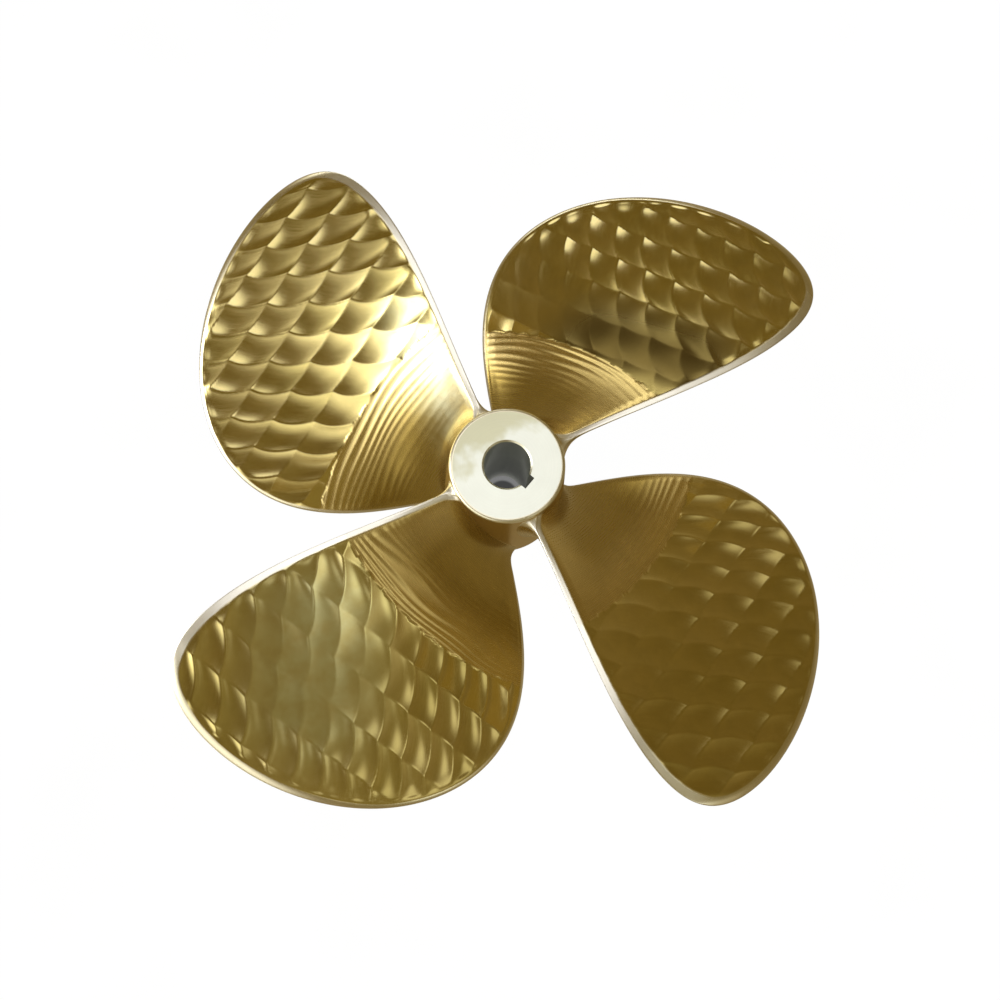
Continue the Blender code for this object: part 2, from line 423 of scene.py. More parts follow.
@dataclass
class SmoothBlade:
    """The blade's two smooth sides on one grid, from inside the hub out to the tip; all blades share it."""

    form: BladeForm
    density: BladeMeshDensity = field(default_factory=BladeMeshDensity)

    def rows(self) -> np.ndarray:
        """Shares of the way from the hub to the tip: sunk, along the fillet's arc, even, then closing up."""
        d, form = self.density, self.form
        reach = form.tip_radius - form.hub.forward_radius
        turn = np.linspace(0.0, math.pi / 2, d.fillet_rows + 1)
        fillet = form.fillet_radius * (1.0 - np.cos(turn))
        plain = np.linspace(form.fillet_radius, reach - d.tip_zone, d.plain_rows + 1)[1:]
        closing = 1.0 - np.linspace(0.0, 1.0, d.tip_rows + 1)[1:-1]
        sunk = -d.sunk_depth * np.linspace(1.0, 0.0, d.sunk_rows + 1)[:-1]
        return np.concatenate([sunk, fillet, plain, reach - d.tip_zone * closing**2]) / reach

    def columns(self, inner: int) -> np.ndarray:
        """Chord positions from the trailing edge, -1, to the leading one, 1, closing up at both noses."""
        d = self.density
        end = 1.0 - d.nose_share * (1.0 - np.linspace(0.0, 1.0, d.nose_columns + 1)[1:]) ** 2
        middle = np.linspace(-1.0 + d.nose_share, 1.0 - d.nose_share, inner)
        return np.concatenate([-end[::-1], middle, end])

    def edge_distance(self, points: np.ndarray, edge: float) -> np.ndarray:
        """Distance from each point to an edge line, taken as short straight pieces.

        Args:
            points: points of the helicoid, x, y, z on the last axis.
            edge: -1 for the trailing edge, 1 for the leading one.

        Returns:
            The distances, shaped as the points without their last axis.
        """
        form = self.form
        d = self.density
        start = form.hub.aft_radius / form.tip_radius * d.edge_start_share
        x = start + (1.0 - start) * np.sin(np.linspace(0.0, 1.0, d.edge_points) * math.pi / 2)
        middle, half = form.outline(x)
        line = form.mean_point(x * form.tip_radius, middle + edge * half)
        begin, step = line[:-1], np.diff(line, axis=0)
        length = (step**2).sum(axis=-1)
        flat = points.reshape(-1, 3)
        best = np.full(len(flat), np.inf)
        for first in range(0, len(begin), d.edge_batch):
            part = slice(first, first + d.edge_batch)
            away = flat[:, None, :] - begin[None, part, :]
            share = np.clip((away * step[None, part, :]).sum(-1) / length[None, part], 0.0, 1.0)
            gap = away - share[..., None] * step[None, part, :]
            best = np.minimum(best, np.sqrt((gap**2).sum(-1)).min(axis=1))
        return best.reshape(points.shape[:-1])

    def side(self, side: Side) -> SmoothSide:
        """Solves the grid of one side.

        A row keeps its share of the way from the hub's surface to the tip circle, so the radius is solved
        with the point's own height in a few rounds. The fillet is a quarter circle off the helicoid.

        Args:
            side: which side.

        Returns:
            The grid.
        """
        form, d = self.form, self.density
        columns = self.columns(d.face_columns if side is Side.FACE else d.back_columns)
        share, chord = np.meshgrid(self.rows(), columns, indexing="ij")
        reach = form.tip_radius - form.hub.forward_radius
        edge_share = form.edge_fillet_share + (1.0 - form.edge_fillet_share) * (1.0 - chord**2)
        above = np.clip(share * reach / form.fillet_radius, 0.0, 1.0)
        arc = 1.0 - np.sqrt(np.clip(1.0 - (1.0 - above) ** 2, 0.0, 1.0))
        fillet = form.fillet_radius * edge_share * arc
        height = np.full_like(share, form.hub.length / 2)
        for _ in range(d.solve_rounds):
            hub_radius = form.hub.radius(height)
            radius = hub_radius + share * (form.tip_radius - hub_radius)
            middle, half = form.outline(radius / form.tip_radius)
            advance = form.advance(radius)
            slope = np.hypot(radius, advance)
            angle = middle + chord * half + chord * fillet / slope
            height = form.mean_point(radius, angle)[..., 2] + side.value * fillet * radius / slope
        mean = form.mean_point(radius, angle)
        to_trailing, to_leading = self.edge_distance(mean, -1.0), self.edge_distance(mean, 1.0)
        in_plan = (1.0 - np.abs(chord)) * half * radius
        to_edge = np.where(fillet > 0.0, in_plan, np.minimum(to_trailing, to_leading))
        closing = np.where(np.abs(chord) >= 1.0, 0.0, np.clip(to_edge / form.nose, 0.0, 1.0))
        return SmoothSide(radius, angle, chord, fillet, mean[..., :2], to_trailing, to_leading, closing)


@dataclass
class Blade:
    """One blade: the smooth grid ground into cells and strokes, and closed over its nose."""

    number: int
    form: BladeForm
    pattern: GrindingPattern
    count: int = 4

    def face_offset(self, grid: SmoothSide) -> tuple[np.ndarray, dict[str, np.ndarray]]:
        """How far the ground face stands off the helicoid, and what its finish needs to know.

        Along the trailing edge a flat band slopes away so that it faces aft; along the leading edge a narrow
        rounded lip does. Between them lie the cells, and near the hub the long strokes.

        Args:
            grid: the smooth face.

        Returns:
            The offsets, and arrays for the finish.
        """
        form, pattern = self.form, self.pattern
        seed = float(self.number)
        along, across = pattern.lattice(grid.plan)
        root = pattern.root_share(grid.plan, seed)
        near, far = form.tip_zone
        tip_share = smooth_step(grid.radius, form.tip_radius - near, form.tip_radius - far)
        band_slope, band_width = self.band(grid.radius)
        roll_width = form.roll_width + (form.tip_roll_width - form.roll_width) * tip_share
        trailing_width = band_width + (roll_width - band_width) * tip_share
        band = band_slope * np.clip(band_width - grid.to_trailing, 0.0, None)
        band = band + (self.roll_drop(grid.to_trailing, roll_width) - band) * tip_share
        drop = np.maximum(band, self.roll_drop(grid.to_leading, roll_width))
        margin = form.calm_width + pattern.smooth_margin
        lip_margin = form.lip_margin_share * pattern.smooth_margin
        from_leading, from_trailing = grid.to_leading - roll_width, grid.to_trailing - trailing_width
        calm = smooth_step(from_leading, lip_margin, margin)
        calm = calm * smooth_step(from_trailing, 0.0, form.calm_width)
        cut = smooth_step(from_leading - lip_margin, *form.cut_zone)
        cut = cut * smooth_step(from_trailing, *form.cut_zone)
        off_hub = smooth_step(-grid.fillet, *form.hub_zone)
        hub_fade = form.hub_relief + (1.0 - form.hub_relief) * off_hub
        cells = pattern.dishes(grid.plan, along, across)
        strokes = pattern.strokes(grid.plan, seed) * hub_fade
        ground = np.where(root > 0.5, strokes, cells)
        level = form.edge_level * off_hub
        relief = form.cut_relief * cut + (1.0 - form.cut_relief) * calm
        offset = grid.fillet + level + (ground - level) * relief - drop
        # The rim share also lays the pale painted highlight along the edges.
        in_band = smooth_step(trailing_width - grid.to_trailing, *form.band_border)
        in_roll = smooth_step(roll_width - grid.to_leading, *form.lip_border)
        rim = np.maximum(in_band * (1.0 - form.tip_rim_loss * tip_share), in_roll * form.lip_rim)
        return offset, self.finish_values(grid, root, rim, along, across)

    def band(self, radius: np.ndarray) -> tuple[np.ndarray, np.ndarray]:
        """Slope and width of the flat band along the trailing edge.

        The band leans with the pitch's angle, so that it faces aft, and is narrower where that would leave
        less than the least edge.

        Args:
            radius: distance from the axis.

        Returns:
            The band's fall for each metre of its width, and its width.
        """
        form = self.form
        lean = np.arctan2(form.advance(radius), radius) * form.band_follow
        slope = np.tan(np.clip(lean, 0.0, math.radians(form.band_steepest_deg)))
        room = form.edge_thickness - form.least_edge + form.edge_level
        return slope, np.minimum(form.band_width, room / slope)

    def roll_drop(self, to_edge: np.ndarray, width: np.ndarray) -> np.ndarray:
        """Fall of the rounded edge: a parabola that starts with a slight crease and steepens to the edge.

        Args:
            to_edge: distance from the edge.
            width: the rolled strip's width.

        Returns:
            The fall below the face.
        """
        inside = np.clip(width - to_edge, 0.0, None)
        first = math.tan(math.radians(self.form.roll_start_deg))
        last = math.tan(math.radians(self.form.roll_end_deg))
        return inside * first + (last - first) * inside**2 / (2.0 * width)

    def back_offset(self, grid: SmoothSide) -> tuple[np.ndarray, dict[str, np.ndarray]]:
        """How far the back stands off the helicoid: the section's parabola, softly ground in the same cells.

        Args:
            grid: the smooth back.

        Returns:
            The offsets, downwards, and arrays for the finish.
        """
        form, pattern = self.form, self.pattern
        to_edge = np.minimum(grid.to_trailing, grid.to_leading)
        share = (grid.radius - form.hub.aft_radius) / (form.tip_radius - form.hub.aft_radius)
        crown = form.root_thickness + (form.tip_thickness - form.root_thickness) * np.clip(share, 0.0, 1.0)
        body = np.clip(crown - form.edge_thickness, 0.0, None) * (1.0 - grid.chord**2)
        along, across = pattern.lattice(grid.plan)
        root = pattern.root_share(grid.plan, float(self.number))
        cells = pattern.dishes(grid.plan, along, across) * smooth_step(to_edge, *form.back_cell_zone)
        cells = cells * form.back_cell_share
        ground = np.where(root > 0.5, 0.0, cells)
        # On the back too, the rim share lays the pale painted highlight near the edges.
        rim = 1.0 - smooth_step(to_edge, *form.back_rim_zone)
        offset = -(form.edge_thickness + body + grid.fillet + ground)
        return offset, self.finish_values(grid, root, rim, along, across)

    def finish_values(self, grid: SmoothSide, root: np.ndarray, rim: np.ndarray, along: np.ndarray,
                      across: np.ndarray) -> dict[str, np.ndarray]:
        """What the finish needs at each point: its zone, its place along the strokes, its cell's tone, the
        painted shade towards the hub and the patches of painted shade and highlight.

        Args:
            grid: the smooth side.
            root: 1 in the root's zone.
            rim: 1 on the smooth rim, where the pale painted highlight goes.
            along: bent lattice coordinate along the rows.
            across: bent lattice coordinate across the rows.

        Returns:
            Arrays by attribute name.
        """
        pattern = self.pattern
        row_length, row_pitch = math.hypot(*pattern.row_step), math.hypot(*pattern.next_row)
        inward = pattern.stroke_edge - pattern.stroke_radius(grid.plan)
        # Painted shade: the root darkens towards the hub, and less so near the trailing edge.
        off_edge = smooth_step(grid.to_trailing, *pattern.hub_shade_edge_zone)
        off_edge = pattern.hub_shade_least + (1.0 - pattern.hub_shade_least) * off_edge
        hub_shade = smooth_step(inward, *pattern.hub_shade_zone) * off_edge
        return {
            "root": root,
            "rim": rim,
            "along": np.where(root > 0.5, pattern.stroke_length(grid.plan), along * row_length),
            "across": np.where(root > 0.5, pattern.stroke_radius(grid.plan), across * row_pitch),
            "hub_shade": hub_shade,
            # Patches of painted shade and painted highlight, kept out of the root unless asked.
            "painted_shade_and_highlight": pattern.painted_shade_and_highlight(grid.plan) * (1.0 - root * (1.0 - pattern.reflection_patch_in_root)),
            "tone": pattern.corner_height(np.floor(along) + self.number, np.floor(across) + 3.0),
        }

    def placed(self, grid: SmoothSide, offset: np.ndarray) -> np.ndarray:
        """Points of a side: the helicoid's, moved along its normal by the offset.

        Towards the edge line the offset closes on the middle of the edge's thickness in a quarter circle.

        Args:
            grid: the smooth side.
            offset: distance along the helicoid's normal.

        Returns:
            The points.
        """
        form = self.form
        nose = np.sqrt(np.clip(1.0 - (1.0 - grid.closing) ** 2, 0.0, 1.0))
        offset = offset * nose + form.nose_level * (1.0 - nose)
        advance = form.advance(grid.radius)
        slope = np.hypot(grid.radius, advance)
        angle = grid.angle + offset * advance / (slope * grid.radius)
        height = form.mean_point(grid.radius, grid.angle)[..., 2] + offset * grid.radius / slope
        return np.stack([grid.radius * np.cos(angle), grid.radius * np.sin(angle), height], axis=-1)

    def build(self, face: SmoothSide, back: SmoothSide) -> bpy.types.Object:
        """Makes the blade's mesh object, with its finish's values as point attributes.

        Args:
            face: the smooth face.
            back: the smooth back.

        Returns:
            The new object, at the origin.
        """
        face_offset, face_values = self.face_offset(face)
        back_offset, back_values = self.back_offset(back)
        face_points, back_points = self.placed(face, face_offset), self.placed(back, back_offset)
        ring = np.concatenate([face_points, back_points[:, -2:0:-1]], axis=1)
        ends = np.stack([ring[-1].mean(axis=0), ring[0].mean(axis=0)])
        turn = math.tau * (self.number - 1) / self.count
        points = turned_about_z(np.vstack([ring.reshape(-1, 3), ends]), turn)
        values = {}
        for name in face_values:
            joined = np.concatenate([face_values[name], back_values[name][:, -2:0:-1]], axis=1)
            values[name] = np.concatenate([joined.ravel(), [joined[-1].mean(), joined[0].mean()]])
        return mesh_object(f"blade_{self.number}", points, closed_grid_faces(*ring.shape[:2]), values)


def closed_grid_faces(row_count: int, ring_count: int) -> tuple[np.ndarray, np.ndarray]:
    """Faces of a tube of rings that is closed by a fan at each end.

    Ring points are numbered row by row, then comes the last row's hub of the fan, then the first row's.

    Args:
        row_count: rings.
        ring_count: points of a ring.

    Returns:
        The quads and the triangles, as arrays of point numbers, wound so that they face outwards.
    """
    row, column = np.meshgrid(np.arange(row_count - 1), np.arange(ring_count), indexing="ij")
    after = (column + 1) % ring_count
    low, high = row * ring_count, (row + 1) * ring_count
    quads = np.stack([low + column, high + column, high + after, low + after], axis=-1).reshape(-1, 4)
    column = np.arange(ring_count)
    after = (column + 1) % ring_count
    last = (row_count - 1) * ring_count
    tip = np.full(ring_count, row_count * ring_count)
    end_fan = np.stack([last + column, tip, last + after], axis=-1)
    start_fan = np.stack([column, after, tip + 1], axis=-1)
    return quads, np.concatenate([end_fan, start_fan])


def mesh_object(name: str, points: np.ndarray, faces: tuple[np.ndarray, np.ndarray],
                values: dict[str, np.ndarray]) -> bpy.types.Object:
    """A smooth-shaded mesh object at the origin.

    Args:
        name: name of the object and its mesh.
        points: N by 3 positions.
        faces: quads and triangles as arrays of point numbers.
        values: named floats, one for each point, kept as attributes.

    Returns:
        The new object, linked to the scene.
    """
    quads, triangles = faces
    mesh = bpy.data.meshes.new(name)
    mesh.vertices.add(len(points))
    mesh.vertices.foreach_set("co", points.astype(np.float32).ravel())
    corners = np.concatenate([quads.ravel(), triangles.ravel()])
    mesh.loops.add(len(corners))
    mesh.loops.foreach_set("vertex_index", corners.astype(np.int32))
    quad_starts = np.arange(len(quads)) * 4
    triangle_starts = len(quads) * 4 + np.arange(len(triangles)) * 3
    mesh.polygons.add(len(quads) + len(triangles))
    mesh.polygons.foreach_set("loop_start", np.concatenate([quad_starts, triangle_starts]).astype(np.int32))
    mesh.update(calc_edges=True)
    mesh.validate()
    mesh.shade_smooth()
    for key, numbers in values.items():
        attribute = mesh.attributes.new(key, "FLOAT", "POINT")
        attribute.data.foreach_set("value", numbers.astype(np.float32))
    obj = bpy.data.objects.new(name, mesh)
    bpy.context.scene.collection.objects.link(obj)
    return obj


@dataclass
class Hub:
    """The hub: one ring-shaped grid over its outside, both faces, the bore and the keyway."""

    form: HubForm
    columns_round: int = 288
    face_rows: int = 26
    round_rows: int = 10
    barrel_rows: int = 90
    bore_rows: int = 60
    keyway_floor_columns: int = 9
    keyway_side_columns: int = 6
    crease_deg: float = 32.0

    def angles(self) -> np.ndarray:
        """Directions of the columns: even round the axis, with the keyway's four corners among them."""
        form = self.form
        side = math.asin(form.keyway_width / 2 / form.bore_radius)
        floor = math.atan2(form.keyway_width / 2, form.keyway_reach())
        corners = np.array([-side, -floor, floor, side])
        open_part = np.linspace(side, math.tau - side, self.columns_round)[1:-1]
        narrow = np.linspace(-floor, floor, self.keyway_floor_columns)[1:-1]
        sides = np.linspace(floor, side, self.keyway_side_columns)[1:-1]
        return np.sort(np.concatenate([corners, open_part, narrow, sides, -sides]))

    def profile(self) -> tuple[np.ndarray, np.ndarray, np.ndarray, dict[str, np.ndarray]]:
        """The turned outline, from the bore's aft mouth over the outside back through the bore.

        Returns:
            Radii, heights, the share by which each point follows the bore's wall, and the finish's values.
        """
        form = self.form
        mouth = form.bore_radius + form.bore_chamfer
        rim_height = form.length - form.aft_round
        rim_centre = float(form.radius(np.array(rim_height))) - form.aft_round
        parts = []
        parts.append((np.linspace(mouth, rim_centre, self.face_rows), form.length, 0.0, "face"))
        turn = np.linspace(math.pi / 2, 0.0, self.round_rows + 1)[1:]
        parts.append((rim_centre + form.aft_round * np.cos(turn),
                      rim_height + form.aft_round * np.sin(turn), 0.0, "rim"))
        heights = np.linspace(rim_height, form.forward_chamfer, self.barrel_rows + 1)[1:]
        parts.append((form.radius(heights), heights, 0.0, "barrel"))
        forward = form.forward_radius - form.forward_chamfer
        parts.append((np.linspace(forward, mouth, self.face_rows), 0.0, 0.0, "face"))
        inner = np.linspace(form.bore_chamfer, form.length - form.bore_chamfer, self.bore_rows)
        parts.append((np.full_like(inner, form.bore_radius), inner, 1.0, "bore"))
        radii = np.concatenate([np.atleast_1d(part[0]) for part in parts])
        heights = np.concatenate([np.broadcast_to(part[1], np.shape(part[0])) for part in parts])
        follow = np.concatenate([np.full(np.shape(part[0]), part[2]) for part in parts])
        zones = {
            zone: np.concatenate([np.full(np.shape(part[0]), float(part[3] == zone)) for part in parts])
            for zone in ("face", "rim", "bore")
        }
        return radii, heights, follow, zones

    def build(self) -> bpy.types.Object:
        """Makes the hub's mesh: the profile turned, with the bore's rows drawn out into the keyway."""
        form = self.form
        radii, heights, follow, zones = self.profile()
        angle = self.angles()
        wall = form.bore_wall(angle)
        radius = np.where(follow[:, None] > 0.5, wall[None], np.maximum(radii[:, None], wall[None]))
        height = np.repeat(heights[:, None], len(angle), axis=1)
        points = np.stack([radius * np.cos(angle), radius * np.sin(angle), height], axis=-1)
        row_count, ring_count = points.shape[:2]
        row, column = np.meshgrid(np.arange(row_count), np.arange(ring_count), indexing="ij")
        below, after = (row + 1) % row_count, (column + 1) % ring_count
        quads = np.stack([row * ring_count + column, below * ring_count + column,
                          below * ring_count + after, row * ring_count + after], axis=-1).reshape(-1, 4)
        values = {zone: np.repeat(share, ring_count) for zone, share in zones.items()}
        keyway = (np.abs(angle) < math.asin(form.keyway_width / 2 / form.bore_radius) - 1e-6)
        values["keyway"] = (follow[:, None] * keyway[None]).ravel()
        obj = mesh_object("hub", points.reshape(-1, 3), (quads, np.zeros((0, 3), int)), values)
        obj.data.set_sharp_from_angle(angle=math.radians(self.crease_deg))
        return obj


Glow = tuple[bpy.types.NodeSocket, Colour]


class NodeBoard:
    """Short ways to lay out a material's nodes."""

    def __init__(self, tree: bpy.types.NodeTree) -> None:
        """Keeps the tree that the nodes go into."""
        self.tree = tree

    def add(self, kind: str, inputs: dict | None = None, **settings: object) -> bpy.types.Node:
        """Adds a node, sets its properties, and sets or links its inputs.

        Args:
            kind: Blender's name of the node type.
            inputs: values or sockets by the input's name or number.
            settings: properties of the node.

        Returns:
            The new node.
        """
        node = self.tree.nodes.new(kind)
        for key, value in settings.items():
            setattr(node, key, value)
        for key, value in (inputs or {}).items():
            if isinstance(value, bpy.types.NodeSocket):
                self.tree.links.new(value, node.inputs[key])
            else:
                node.inputs[key].default_value = value
        return node

    def attribute(self, name: str) -> bpy.types.NodeSocket:
        """The value of a point attribute of the piece."""
        return self.add("ShaderNodeAttribute", attribute_name=name).outputs["Fac"]

    def maths(self, operation: str, *values: object) -> bpy.types.NodeSocket:
        """One step of arithmetic on numbers or sockets."""
        return self.add("ShaderNodeMath", dict(enumerate(values)), operation=operation).outputs[0]

    def mix(self, share: object, first: object, second: object, blend: str = "MIX") -> bpy.types.NodeSocket:
        """Mixes two colours or colour sockets."""
        inputs = {0: share, 6: first, 7: second}
        node = self.add("ShaderNodeMix", inputs, data_type="RGBA", blend_type=blend)
        return node.outputs[2]

    def ramp(self, value: object, low: float, high: float, to_low: float,
             to_high: float) -> bpy.types.NodeSocket:
        """Maps a range of a value onto another, without going past it."""
        inputs = {"Value": value, "From Min": low, "From Max": high, "To Min": to_low, "To Max": to_high}
        return self.add("ShaderNodeMapRange", inputs).outputs["Result"]

    def step(self, value: object, low: float, high: float) -> bpy.types.NodeSocket:
        """A ramp from 0 at the first value to 1 at the second whose ends are level."""
        inputs = {"Value": value, "From Min": low, "From Max": high}
        return self.add("ShaderNodeMapRange", inputs, interpolation_type="SMOOTHSTEP").outputs["Result"]

    def grey(self, value: object) -> bpy.types.NodeSocket:
        """A grey as bright as a number."""
        return self.add("ShaderNodeCombineColor", {0: value, 1: value, 2: value}).outputs[0]

    def angle_from(self, direction: object, towards: Colour) -> bpy.types.NodeSocket:
        """Angle between a direction and a fixed one, in radians."""
        facing = self.add("ShaderNodeVectorMath", {0: direction, 1: towards}, operation="DOT_PRODUCT")
        return self.maths("ARCCOSINE", self.maths("MINIMUM", facing.outputs["Value"], 1.0))

    def finish_metal(self, shader: bpy.types.Node, base: object, rough: object, bump: object) -> None:
        """Links the colour, roughness and bump of a metal."""
        for key, socket in {"Base Color": base, "Roughness": rough, "Normal": bump}.items():
            self.tree.links.new(socket, shader.inputs[key])
        shader.inputs["Metallic"].default_value = 1.0

    def noise(self, vector: object, scale: float, detail: float = 3.0) -> bpy.types.NodeSocket:
        """A soft noise from 0 to 1."""
        inputs = {"Vector": vector, "Scale": scale, "Detail": detail, "Roughness": 0.55}
        return self.add("ShaderNodeTexNoise", inputs).outputs["Fac"]


def new_material(name: str) -> tuple[bpy.types.Material, NodeBoard, bpy.types.Node]:
    """A material with a metal shader and its output.

    Args:
        name: the material's name.

    Returns:
        The material, its node board and its Principled shader.
    """
    material = bpy.data.materials.new(name)
    material.use_nodes = True
    material.node_tree.nodes.clear()
    board = NodeBoard(material.node_tree)
    shader = board.add("ShaderNodeBsdfPrincipled")
    board.add("ShaderNodeOutputMaterial", {"Surface": shader.outputs[0]})
    return material, board, shader


def colour4(colour: Colour) -> tuple[float, float, float, float]:
    """A colour with full opacity."""
    return (*colour, 1.0)


@dataclass(frozen=True)
class BladeBronze:
    """Finish of a blade: bronze ground in arcs, browner at the root with painted shade darkening it towards
    the hub, a pale painted highlight on its smoother rim, and on some blades patches of painted shade and
    painted highlight.
    """

    name: str = "ground_bronze"
    cell: Colour = (0.82, 0.700, 0.330)
    cell_other: Colour = (0.75, 0.640, 0.270)
    root: Colour = (0.80, 0.650, 0.310)
    # Darker brown of the root's painted shade towards the hub.
    root_hub_shade: Colour = (0.47, 0.345, 0.100)
    # Near-white colour of the rim: a painted highlight along the blade's edges.
    rim: Colour = (0.96, 0.95, 0.90)
    # Dark colour of the patches of painted shade.
    painted_shade_and_highlight: Colour = (0.20, 0.150, 0.050)
    # Pale colour of the patches of painted highlight.
    wear_and_highlight: Colour = (0.80, 0.83, 0.60)
    roughness_cell: float = 0.17
    roughness_root: float = 0.26
    roughness_rim: float = 0.28
    roughness_shade_patch: float = 0.13
    roughness_highlight_patch: float = 0.06
    scratch_scale: float = 900.0
    scratch_length_share: float = 0.03
    scratch_depth: float = 0.000012
    scratch_strength: float = 0.5
    scratch_in_shade: float = 0.6
    scratch_mean: float = 0.5
    dulled_by_patches: float = 4.0
    dulled_by_rim: float = 1.5
    cloud_scale: float = 9.0
    patch_scale: float = 38.0
    tone_share: float = 0.22
    cell_range: Range = (0.3, 0.75, 0.0, 1.0)
    highlight_patch_range: Range = (0.30, 0.62, -0.35, -1.0)
    shade_range: Range = (0.4, 1.1, 0.88, 1.06)
    rough_range: Range = (0.3, 0.7, -0.03, 0.05)

    def build(self) -> bpy.types.Material:
        """Lays out the material.

        The scratches are a noise of the coordinates along and across the strokes, drawn out along them.

        Returns:
            The material.
        """
        material, board, shader = new_material(self.name)
        root, rim, tone = board.attribute("root"), board.attribute("rim"), board.attribute("tone")
        place = board.add("ShaderNodeTexCoord").outputs["Object"]
        along = board.maths("MULTIPLY", board.attribute("along"), self.scratch_length_share)
        strokes = board.add("ShaderNodeCombineXYZ", {0: along, 1: board.attribute("across")}).outputs[0]
        scratches = board.noise(strokes, self.scratch_scale, 4.0)
        # The patches of painted shade and painted highlight; the scratches fade in them and on the rim.
        painted_shade_and_highlight = board.attribute("painted_shade_and_highlight")
        dulled = board.maths("MULTIPLY", board.maths("ABSOLUTE", painted_shade_and_highlight), self.dulled_by_patches)
        dulled = board.maths("ADD", dulled, board.maths("MULTIPLY", rim, self.dulled_by_rim))
        dulled = board.maths("MINIMUM", dulled, 1.0)
        smoother = board.maths("MULTIPLY", dulled, board.maths("SUBTRACT", self.scratch_mean, scratches))
        scratches = board.maths("ADD", scratches, smoother)
        clouds = board.noise(place, self.cloud_scale)
        patches = board.noise(place, self.patch_scale)
        toned = board.maths("ADD", board.maths("MULTIPLY", tone, self.tone_share), clouds)
        cell_share = board.ramp(toned, *self.cell_range)
        cell = board.mix(cell_share, colour4(self.cell), colour4(self.cell_other))
        # Painted shade: the root's colour turns darker brown towards the hub.
        ground_root = board.mix(board.attribute("hub_shade"), colour4(self.root), colour4(self.root_hub_shade))
        base = board.mix(root, cell, ground_root)
        # Painted shade: dark patches where the value is above 0; painted highlight: pale mottled patches
        # where it is below 0.
        base = board.mix(board.maths("MAXIMUM", painted_shade_and_highlight, 0.0), base, colour4(self.painted_shade_and_highlight))
        highlight_patch_share = board.maths("MULTIPLY", painted_shade_and_highlight, board.ramp(patches, *self.highlight_patch_range))
        base = board.mix(board.maths("MAXIMUM", highlight_patch_share, 0.0), base, colour4(self.wear_and_highlight))
        # Painted highlight: the rim turns near white along the edges.
        base = board.mix(rim, base, colour4(self.rim))
        mottled = board.maths("ADD", board.maths("MULTIPLY", scratches, self.scratch_in_shade), patches)
        shade = board.ramp(mottled, *self.shade_range)
        base = board.mix(1.0, base, board.grey(shade), "MULTIPLY")
        rough = board.ramp(root, 0.0, 1.0, self.roughness_cell, self.roughness_root)
        on_rim = board.maths("MULTIPLY", rim, self.roughness_rim - self.roughness_cell)
        rough = board.maths("ADD", rough, on_rim)
        rough = board.maths("ADD", rough, board.ramp(scratches, *self.rough_range))
        rough = board.maths("ADD", rough, board.ramp(painted_shade_and_highlight, 0.0, 1.0, 0.0, self.roughness_shade_patch))
        rough = board.maths("ADD", rough, board.ramp(painted_shade_and_highlight, -1.0, 0.0, self.roughness_highlight_patch, 0.0))
        relief = {"Height": scratches, "Distance": self.scratch_depth, "Strength": self.scratch_strength}
        bump = board.add("ShaderNodeBump", relief)
        board.finish_metal(shader, base, rough, bump.outputs[0])
        return material


